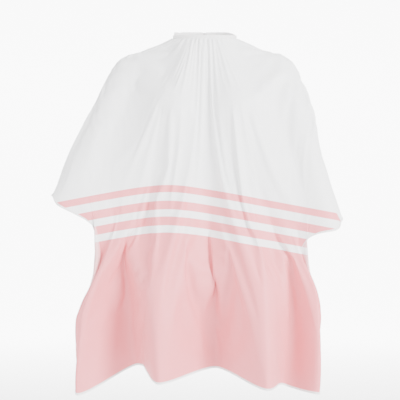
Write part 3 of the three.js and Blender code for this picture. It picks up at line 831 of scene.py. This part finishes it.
def beside_slit(grid, flat, side, distance, row):
    """The grid's value on a row, at a distance from the slit's edge on the flat sheet."""
    columns = range(0, len(grid) // 6) if side < 0 else range(len(grid) - 1, len(grid) * 5 // 6, -1)
    columns = list(columns)
    across = np.abs(flat[columns, row, 0])
    values = grid[columns, row]
    return np.array([np.interp(distance, across, values[:, axis]) for axis in range(3)])


def make_facing(name, places, normals, flat, side):
    distances = np.linspace(0.0006, FACING_WIDTH, HEM_ROWS)
    last = places.shape[1] - 3
    strip, outward = [], []
    for row in range(2, last + 1):
        strip.append([beside_slit(places, flat, side, d, row) for d in distances])
        outward.append([unit(beside_slit(normals, flat, side, d, row)) for d in distances])
    strip, outward = np.array(strip), np.array(outward)
    obj = cloth_strip(name, strip, outward, HEM_CLOTH, run_lengths(strip[:, 0]))
    rows = []
    for column in (1, HEM_ROWS - 2):
        seam = strip[:, column] + outward[:, column] * HEM_CLOTH / 2
        rows += stitch_row(seam, outward[:, column])
    return obj, rows


# ---- Neck band and tabs ----

def from_nape(degrees):
    return math.pi - math.radians(degrees)


def outward_at(angle):
    return (neck_point(angle, 0.01) - neck_point(angle, 0)) / 0.01


def neck_strip(name, angles, rows, centre_at, low_at, height_at, thickness):
    """A strip on edge round the neck, with its stitches along both edges."""
    strip, outward = [], []
    for angle in angles:
        low, height = low_at(angle), height_at(angle)
        normal = outward_at(angle)
        base = neck_point(angle, centre_at(angle))
        strip.append([base + Vector((0, 0, low + height * row / (rows - 1))) for row in range(rows)])
        outward.append([normal] * rows)
    strip, outward = np.array(strip), np.array(outward)
    along = run_lengths(strip[:, 0])
    obj = cloth_strip(name, strip, outward, thickness, along)
    seams = []
    for row in (1, rows - 2):
        seams += stitch_row(strip[:, row] + outward[:, row] * thickness / 2, outward[:, row])
    return obj, seams


def band_height(angle):
    widening = ease(abs(angle), math.pi * 0.5, math.pi * 0.78)
    return mix(BAND_FRONT_HEIGHT, BAND_BACK_HEIGHT, widening)


def make_neck_band():
    end = from_nape(BAND_END_ANGLE)
    angles = np.linspace(-end, end, BAND_COLUMNS)

    def centre(angle):
        return BAND_THICKNESS / 2 + 0.00015 * math.sin(GATHER_COUNT * angle)

    def low(angle):
        return 0.00025 * math.sin(GATHER_COUNT * angle + 1)

    def height(angle):
        return band_height(angle) - low(angle) + 0.0002 * math.sin(31 * angle)

    return neck_strip("neck_band_cloth", angles, BAND_ROWS, centre, low, height, BAND_THICKNESS * 0.94)


def ramp(degrees, root, flat, offset):
    return mix(SEWN_OFFSET, offset, ease((degrees - root) / (flat - root), 0, 1))


def make_tab(name, from_degrees, to_degrees, ramp_angles, offset):
    """A flat strap with a square sewn end and a rounded tip."""
    steps = int(abs(to_degrees - from_degrees) * 2)
    spread = np.linspace(0, 1, steps)
    degrees = from_degrees + (to_degrees - from_degrees) * (1 - (1 - spread) ** 1.25)

    def turn(angle):
        return math.degrees(math.pi - angle)

    def centre(angle):
        return ramp(turn(angle), *ramp_angles, offset) + TAB_THICKNESS / 2

    def narrowing(angle):
        left = abs(turn(angle) - to_degrees) / TIP_ROUNDING
        inside = max(1 - left, 0)
        return TAB_HEIGHT / 2 * (1 - math.sqrt(max(1 - inside**2, 0.02)))

    def low(angle):
        return TAB_BOTTOM + narrowing(angle)

    def height(angle):
        return TAB_HEIGHT - 2 * narrowing(angle)

    angles = [from_nape(value) for value in degrees]
    return neck_strip(name, angles, TAB_ROWS, centre, low, height, TAB_THICKNESS)


def box_stitch(from_degrees, to_degrees, offset):
    """The crossed box that sews a tab's root to the band."""
    def spot(degrees, share):
        angle = from_nape(degrees)
        place = neck_point(angle, offset + TAB_THICKNESS)
        place.z += TAB_BOTTOM + TAB_HEIGHT * share
        return place, outward_at(angle)

    rows = []
    corners = [(from_degrees, 0.14), (to_degrees, 0.14), (to_degrees, 0.86), (from_degrees, 0.86)]
    lines = list(zip(corners, corners[1:] + corners[:1])) + [(corners[0], corners[2])]
    lines.append((corners[1], corners[3]))
    for start, end in lines:
        shares = np.linspace(0, 1, 12)
        spots = [spot(mix(start[0], end[0], s), mix(start[1], end[1], s)) for s in shares]
        path = np.array([place for place, _ in spots])
        rows += stitch_row(path, np.array([normal for _, normal in spots]))
    return rows


# ---- Snaps ----

def turned(name, outline, degrees, offset):
    """A turned metal piece on the closure; the outline is (radius, height) from the cloth out."""
    angle = from_nape(degrees)
    axis = outward_at(angle).normalized()
    base = neck_point(angle, offset)
    base.z += TAB_BOTTOM + TAB_HEIGHT / 2
    up = Vector((0, 0, 1))
    aside = axis.cross(up)
    places, faces, ring_starts = [], [], []
    for radius, height in outline:
        ring_starts.append((len(places), radius > 0))
        sides = LATHE_SIDES if radius > 0 else 1
        for side in range(sides):
            turn = 2 * math.pi * side / LATHE_SIDES
            ring = aside * math.cos(turn) + up * math.sin(turn)
            places.append(base + axis * height + ring * radius)
    for (a, a_wide), (b, b_wide) in zip(ring_starts, ring_starts[1:]):
        for side in range(LATHE_SIDES):
            after = (side + 1) % LATHE_SIDES
            if a_wide and b_wide:
                faces.append((a + side, a + after, b + after, b + side))
            elif a_wide:
                faces.append((a + side, a + after, b))
            elif b_wide:
                faces.append((a, b + after, b + side))
    obj = new_object(name, places, faces)
    bm = bmesh.new()
    bm.from_mesh(obj.data)
    bmesh.ops.remove_doubles(bm, verts=bm.verts, dist=1e-7)
    bmesh.ops.recalc_face_normals(bm, faces=bm.faces)
    bm.to_mesh(obj.data)
    bm.free()
    sharp = obj.modifiers.new("edges", "BEVEL")
    sharp.width = 0.00012
    sharp.segments = 2
    sharp.limit_method = "ANGLE"
    sharp.angle_limit = math.radians(35)
    return obj


def arc(centre, radius, start, end, steps=6):
    """Points of an outline's rounded stretch, with angles in degrees from outwards to up."""
    for step in range(steps + 1):
        turn = math.radians(mix(start, end, step / steps))
        yield centre[0] + radius * math.cos(turn), centre[1] + radius * math.sin(turn)


def post_outline():
    bore = SHANK_RADIUS * 0.55
    rim = SNAP_RADIUS * 0.86
    shank_end = POST_FLANGE + TAB_THICKNESS + TAB_CLEARANCE * 2
    round_rim = arc((rim - POST_FLANGE / 2, POST_FLANGE / 2), POST_FLANGE / 2, -90, 90)
    return [
        (bore, 0), *round_rim, (SHANK_RADIUS, POST_FLANGE), (SHANK_RADIUS, shank_end),
        (bore, shank_end), (bore, 0),
    ]


def stud_outline():
    bore = SHANK_RADIUS * 0.8
    rim = SNAP_RADIUS * 0.86
    top = STUD_FLANGE + STUD_HEIGHT
    round_rim = arc((rim - STUD_FLANGE / 2, STUD_FLANGE / 2), STUD_FLANGE / 2, -90, 90)
    bulge = STUD_RADIUS * 0.22
    nub = arc((STUD_RADIUS - bulge, top - bulge * 1.4), bulge, -60, 90)
    return [
        (bore, 0), *round_rim, (STUD_RADIUS * 1.5, STUD_FLANGE), (STUD_RADIUS * 0.84, STUD_FLANGE * 1.5),
        *nub, (bore, top - bulge * 0.6), (bore, 0),
    ]


def socket_outline():
    grip = STUD_RADIUS + SHANK_RADIUS * 0.22
    rim = SNAP_RADIUS * 0.96
    round_low = arc((rim - 0.0005, 0.0005), 0.0005, -90, 0)
    round_high = arc((rim - 0.0003, SOCKET_DEPTH - 0.0003), 0.0003, 0, 90, 4)
    return [
        (grip, 0.0002), (grip + 0.0004, 0), (rim * 0.62, 0), (rim * 0.66, 0.0004), (rim * 0.8, 0.0004),
        (rim * 0.84, 0), *round_low, *round_high, (grip, SOCKET_DEPTH), (grip, 0.0002),
    ]


def cap_outline():
    shank = -(TAB_THICKNESS + TAB_CLEARANCE * 2)
    rim = SNAP_RADIUS
    edge = arc((rim - 0.0005, 0.0006), 0.0005, -90, 60)
    dome = [
        (rim * share, mix(0.0011, CAP_HEIGHT, math.sqrt(1 - (share / 0.9) ** 2)))
        for share in (0.86, 0.8, 0.72, 0.62, 0.5, 0.36, 0.22)
    ]
    return [
        (0, shank), (SHANK_RADIUS, shank), (SHANK_RADIUS, 0.0001), *edge, *dome,
        (rim * 0.1, CAP_HEIGHT * 0.985), (0, CAP_HEIGHT * 0.965),
    ]


# ---- Materials ----

class Nodes:
    """A material under construction."""

    def __init__(self, name):
        self.material = bpy.data.materials.new(name)
        self.material.use_nodes = True
        self.tree = self.material.node_tree
        self.shader = self.tree.nodes["Principled BSDF"]

    def add(self, kind, settings=None, **inputs):
        node = self.tree.nodes.new(kind)
        for name, value in (settings or {}).items():
            setattr(node, name, value)
        for name, value in inputs.items():
            self.set(node, name.replace("_", " "), value)
        return node

    def set(self, node, name, value):
        socket = node.inputs[int(name)] if name.isdigit() else node.inputs[name]
        if isinstance(value, bpy.types.NodeSocket):
            self.tree.links.new(value, socket)
        else:
            socket.default_value = value

    def maths(self, operation, a, b=0.5, clamp=False):
        node = self.add("ShaderNodeMath", {"operation": operation, "use_clamp": clamp})
        self.set(node, "0", a)
        self.set(node, "1", b)
        return node.outputs[0]

    def mix(self, share, a, b):
        node = self.add("ShaderNodeMix", {"data_type": "RGBA"})
        for socket, value in (("0", share), ("6", a), ("7", b)):
            self.set(node, socket, value)
        return node.outputs[2]

    def coords(self, uv_map):
        node = self.add("ShaderNodeUVMap", {"uv_map": uv_map})
        parts = self.add("ShaderNodeSeparateXYZ")
        self.set(parts, "0", node.outputs[0])
        return node.outputs[0], parts.outputs[0], parts.outputs[1]

    def noise(self, vector, scale, detail=3.0, roughness=0.55):
        node = self.add("ShaderNodeTexNoise", Scale=scale, Detail=detail, Roughness=roughness)
        self.set(node, "Vector", vector)
        return node.outputs["Fac"]

    def bump(self, height, distance, strength=1.0, below=None):
        node = self.add("ShaderNodeBump", Strength=strength, Distance=distance)
        self.set(node, "Height", height)
        if below is not None:
            self.set(node, "Normal", below)
        return node.outputs[0]

    def range(self, value, low, high):
        """Spreads a value of about 0.3 to 0.7, as noise gives, from low to high."""
        node = self.add("ShaderNodeMapRange")
        for socket, number in (("1", 0.3), ("2", 0.7), ("3", low), ("4", high)):
            self.set(node, socket, number)
        self.set(node, "0", value)
        return node.outputs[0]


def rgba(colour):
    return (*colour, 1.0)


def weave_height(nodes, u, v, pitch):
    """Over and under of a plain weave."""
    waves = [nodes.maths("SINE", nodes.maths("MULTIPLY", c, 2 * math.pi / pitch)) for c in (u, v)]
    return nodes.maths("MULTIPLY", *waves)


def stripes(nodes, v, white, pink):
    """The printed bands, from the first stripe down to the plain block."""
    ramp_node = nodes.add("ShaderNodeValToRGB")
    ramp_node.color_ramp.interpolation = "CONSTANT"
    nodes.set(ramp_node, "0", nodes.maths("DIVIDE", v, FRONT_LENGTH, clamp=True))
    elements = ramp_node.color_ramp.elements
    elements[0].color = rgba((0, 0, 0))
    edges = [STRIPES_TOP + STRIPE_WIDTH * number for number in range(7)]
    for number, edge in enumerate(edges):
        element = elements[1] if number == 0 else elements.new(edge / FRONT_LENGTH)
        element.position = edge / FRONT_LENGTH
        element.color = rgba((1 - number % 2,) * 3)
    return nodes.mix(ramp_node.outputs[0], white, pink)


def sheet_material(name, white, pink, sheen):
    nodes = Nodes(name)
    flat, u, v = nodes.coords("flat")
    _, _, down = nodes.coords("print")
    bleed = nodes.noise(flat, 900, 2)
    down = nodes.maths("ADD", down, nodes.maths("MULTIPLY", nodes.maths("SUBTRACT", bleed, 0.5), 0.0006))
    mottle = nodes.noise(flat, 26, 4)
    pale = nodes.mix(nodes.range(mottle, 0, 1), rgba(white), rgba([c * 0.975 for c in white]))
    deeper = (pink[0], pink[1] * 0.96, pink[2] * 0.955)
    warm = nodes.mix(nodes.range(mottle, 0, 1), rgba(pink), rgba(deeper))
    nodes.set(nodes.shader, "Base Color", stripes(nodes, down, pale, warm))
    nodes.set(nodes.shader, "Roughness", nodes.range(nodes.noise(flat, 60, 4), 0.46, 0.58))
    weave = nodes.bump(weave_height(nodes, u, v, THREAD_PITCH), 0.00004, 0.5)
    stretched = nodes.add("ShaderNodeMapping", Scale=(40, 260, 1))
    nodes.set(stretched, "Vector", flat)
    slub = nodes.bump(nodes.noise(stretched.outputs[0], 1.0, 2), 0.00008, 0.35, weave)
    crush = nodes.bump(nodes.noise(flat, 34, 5, 0.6), 0.0016, 0.32, slub)
    nodes.set(nodes.shader, "Normal", crush)
    nodes.shader.inputs["Sheen Weight"].default_value = sheen
    nodes.shader.inputs["Sheen Roughness"].default_value = 0.4
    nodes.shader.inputs["Specular IOR Level"].default_value = 0.32
    return nodes.material


def strip_material(name, colour, pitch, ribs, roughness):
    """Folded trim cloth: a weave with ribs along the strip and soft puckers at the seams."""
    nodes = Nodes(name)
    strip, u, v = nodes.coords("strip")
    soil = nodes.noise(strip, 90, 4)
    nodes.set(
        nodes.shader, "Base Color",
        nodes.mix(nodes.range(soil, 0, 1), rgba(colour), rgba([c * 0.955 for c in colour])),
    )
    shine = nodes.range(nodes.noise(strip, 240, 3), roughness - 0.06, roughness + 0.08)
    nodes.set(nodes.shader, "Roughness", shine)
    weave = nodes.bump(weave_height(nodes, u, v, pitch), 0.00006, 0.6)
    rib = nodes.maths("SINE", nodes.maths("MULTIPLY", v, 2 * math.pi / ribs))
    ribbed = nodes.bump(rib, 0.00005, 0.5, weave)
    stretched = nodes.add("ShaderNodeMapping", Scale=(230, 60, 1))
    nodes.set(stretched, "Vector", strip)
    pucker = nodes.bump(nodes.noise(stretched.outputs[0], 1.0, 3), 0.00045, 0.4, ribbed)
    nodes.set(nodes.shader, "Normal", pucker)
    nodes.shader.inputs["Sheen Weight"].default_value = 0.2
    nodes.shader.inputs["Sheen Roughness"].default_value = 0.5
    return nodes.material


def thread_material():
    nodes = Nodes("sewing_thread")
    place = nodes.add("ShaderNodeTexCoord").outputs["Object"]
    twist = nodes.noise(place, 5200, 2)
    nodes.set(
        nodes.shader, "Base Color",
        nodes.mix(nodes.range(twist, 0, 1), rgba(THREAD_WHITE), rgba([c * 0.86 for c in THREAD_WHITE])),
    )
    nodes.set(nodes.shader, "Roughness", nodes.range(nodes.noise(place, 900), 0.42, 0.6))
    nodes.set(nodes.shader, "Normal", nodes.bump(twist, 0.00008, 0.6))
    nodes.shader.inputs["Sheen Weight"].default_value = 0.25
    return nodes.material


def snap_material():
    nodes = Nodes("nickel_plate")
    place = nodes.add("ShaderNodeTexCoord").outputs["Object"]
    worn = nodes.noise(place, 420, 5, 0.65)
    nodes.set(
        nodes.shader, "Base Color",
        nodes.mix(nodes.range(worn, 0, 1), rgba(NICKEL), rgba((0.52, 0.51, 0.48))),
    )
    nodes.set(nodes.shader, "Roughness", nodes.range(nodes.noise(place, 1500, 4), 0.16, 0.34))
    scratch = nodes.add("ShaderNodeMapping", Scale=(300, 300, 6000))
    nodes.set(scratch, "Vector", place)
    nodes.set(nodes.shader, "Normal", nodes.bump(nodes.noise(scratch.outputs[0], 1.0, 3), 0.00002, 0.35))
    nodes.shader.inputs["Metallic"].default_value = 1.0
    return nodes.material


# ---- Assembly ----

def finish_piece(obj, body, material, nodes=()):
    if not obj.data.materials:
        obj.data.materials.append(material)
    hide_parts(*nodes)
    if body:
        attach(obj, body)
    return obj


def paler(colour, share):
    return tuple(mix(c, 0.86, share) for c in colour)


binding = strip_material("hem_binding", TRIM_WHITE, 0.0005, 0.0012, 0.6)
band_cloth = strip_material("band_twill", TRIM_WHITE, 0.0006, 0.0009, 0.66)
thread = thread_material()
nickel = snap_material()

places, normals, flat = settled_grids()

sheet = make_sheet(places, normals, flat)
sheet.data.materials.append(sheet_material("printed_polyester", WHITE, PINK, 0.18))
sheet.data.materials.append(sheet_material("inside_polyester", paler(WHITE, 0), paler(PINK, 0.38), 0.1))
finish_piece(sheet, "root", None, ["cape_sheet"])

trim, hem_stitches = [], []
for name, (first, last) in zone_columns().items():
    piece, seam = make_hem(name + "_binding", places, normals, first, last)
    trim.append(finish_piece(piece, "root", binding, [name]))
    hem_stitches += seam
for name, side in (("left_slit_facing", -1), ("right_slit_facing", 1)):
    piece, seam = make_facing(name + "_binding", places, normals, flat, side)
    trim.append(finish_piece(piece, "root", binding, [name]))
    hem_stitches += seam
hem_thread = stitching("hem_stitches", hem_stitches)
trim.append(finish_piece(hem_thread, "root", thread))

band, band_seams = make_neck_band()
finish_piece(band, "root", band_cloth, ["neck_band"])
under_tab, under_seams = make_tab(
    "under_tab_strap", UNDER_TAB_ROOT_ANGLE, UNDER_TAB_END_ANGLE, UNDER_TAB_RAMP, UNDER_TAB_OFFSET
)
finish_piece(under_tab, "root", band_cloth, ["under_tab"])
root_seams = band_seams + under_seams
root_seams += box_stitch(UNDER_TAB_ROOT_ANGLE - 1.5, UNDER_TAB_RAMP[0] + 1, SEWN_OFFSET)
finish_piece(stitching("band_stitches", root_seams), "root", thread)

over_tab, over_seams = make_tab(
    "over_tab_strap", OVER_TAB_SEWN_ANGLE, OVER_TAB_END_ANGLE, OVER_TAB_RAMP, OVER_TAB_OFFSET
)
over_seams += box_stitch(OVER_TAB_SEWN_ANGLE + 1.5, OVER_TAB_RAMP[0] - 2, SEWN_OFFSET)
over_thread = stitching("over_tab_stitches", over_seams)
finish_piece(over_tab, None, band_cloth, ["over_tab", "over_tab_sewn_end"])
finish_piece(over_thread, None, thread)
for piece in (over_tab, over_thread):
    bend_start = neck_point(from_nape(OVER_TAB_RAMP[0] - TAB_BEND), SEWN_OFFSET)
    bend_end = neck_point(from_nape(OVER_TAB_RAMP[0] + TAB_BEND), SEWN_OFFSET)
    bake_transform(piece)

SNAPS = (
    ("snap_post", post_outline, STUD_COUNT, POST_BASE, "root"),
    ("snap_stud", stud_outline, STUD_COUNT, STUD_BASE, "root"),
    ("snap_socket", socket_outline, SOCKET_COUNT, SOCKET_BASE, "over_tab"),
    ("snap_cap", cap_outline, SOCKET_COUNT, CAP_BASE, "over_tab"),
)
for kind, outline, count, offset, body in SNAPS:
    for number in range(count):
        degrees = FIRST_STUD_ANGLE - number * STUD_PITCH_ANGLE
        piece = turned(f"{kind}_{number + 1}_turned", outline(), degrees, offset)
        finish_piece(piece, body, nickel, [f"{kind}_{number + 1}"])


# ---- Stage and lights ----

def backdrop():
    """A round pale floor that curves up into a wall all round."""
    profile = [(radius, 0.0) for radius in (0.001, 1.5, 3.2, FLOOR_RADIUS)]
    for turn in np.linspace(0.1, math.pi / 2, 12):
        profile.append((FLOOR_RADIUS + WALL_CURVE * math.sin(turn), WALL_CURVE * (1 - math.cos(turn))))
    profile.append((FLOOR_RADIUS + WALL_CURVE, WALL_CURVE + WALL_HEIGHT))
    places = []
    for turn in np.linspace(0, 2 * math.pi, FLOOR_COLUMNS):
        places += [(r * math.cos(turn), r * math.sin(turn), FLOOR_LEVEL + z) for r, z in profile]
    obj = new_object("studio_floor", places, grid_faces(FLOOR_COLUMNS, len(profile)))
    nodes = Nodes("studio_paper")
    place = nodes.add("ShaderNodeTexCoord").outputs["Object"]
    tone = nodes.mix(nodes.noise(place, 3), rgba((0.93, 0.93, 0.93)), rgba((0.95, 0.95, 0.95)))
    nodes.set(nodes.shader, "Base Color", tone)
    nodes.set(nodes.shader, "Emission Color", tone)
    apart = nodes.add("ShaderNodeSeparateXYZ")
    nodes.set(apart, "0", place)
    glow = PAPER_GLOW
    aside = nodes.maths("ABSOLUTE", apart.outputs["X"])
    for value, (none, full) in ((apart.outputs["Y"], GLOW_BACK), (aside, GLOW_SIDE)):
        share = nodes.add("ShaderNodeMapRange")
        for name, number in (("Value", value), ("From Min", none), ("From Max", full)):
            nodes.set(share, name, number)
        glow = nodes.maths("MULTIPLY", share.outputs[0], glow)
    nodes.set(nodes.shader, "Emission Strength", glow)
    nodes.shader.inputs["Roughness"].default_value = 0.9
    obj.data.materials.append(nodes.material)


def area_light(name, place, target, size, power):
    data = bpy.data.lights.new(name, "AREA")
    data.size = size
    data.energy = power
    obj = add_object(name, data)
    obj.location = place
    obj.rotation_euler = (Vector(target) - Vector(place)).to_track_quat("-Z", "Y").to_euler()


def light_studio():
    world = bpy.data.worlds.new("studio_air")
    world.use_nodes = True
    background = world.node_tree.nodes["Background"]
    background.inputs[0].default_value = (1, 1, 1, 1)
    background.inputs[1].default_value = AIR_GLOW
    bpy.context.scene.world = world
    middle = (0, 0, -0.35)
    area_light("key", (2.1, -1.8, 0.8), middle, 1.0, 235)
    area_light("fill", (-2.4, -2.0, 0.2), middle, 1.6, 75)
    area_light("back", (0.9, 2.2, 2.2), middle, 1.6, 30)


backdrop()
light_studio()
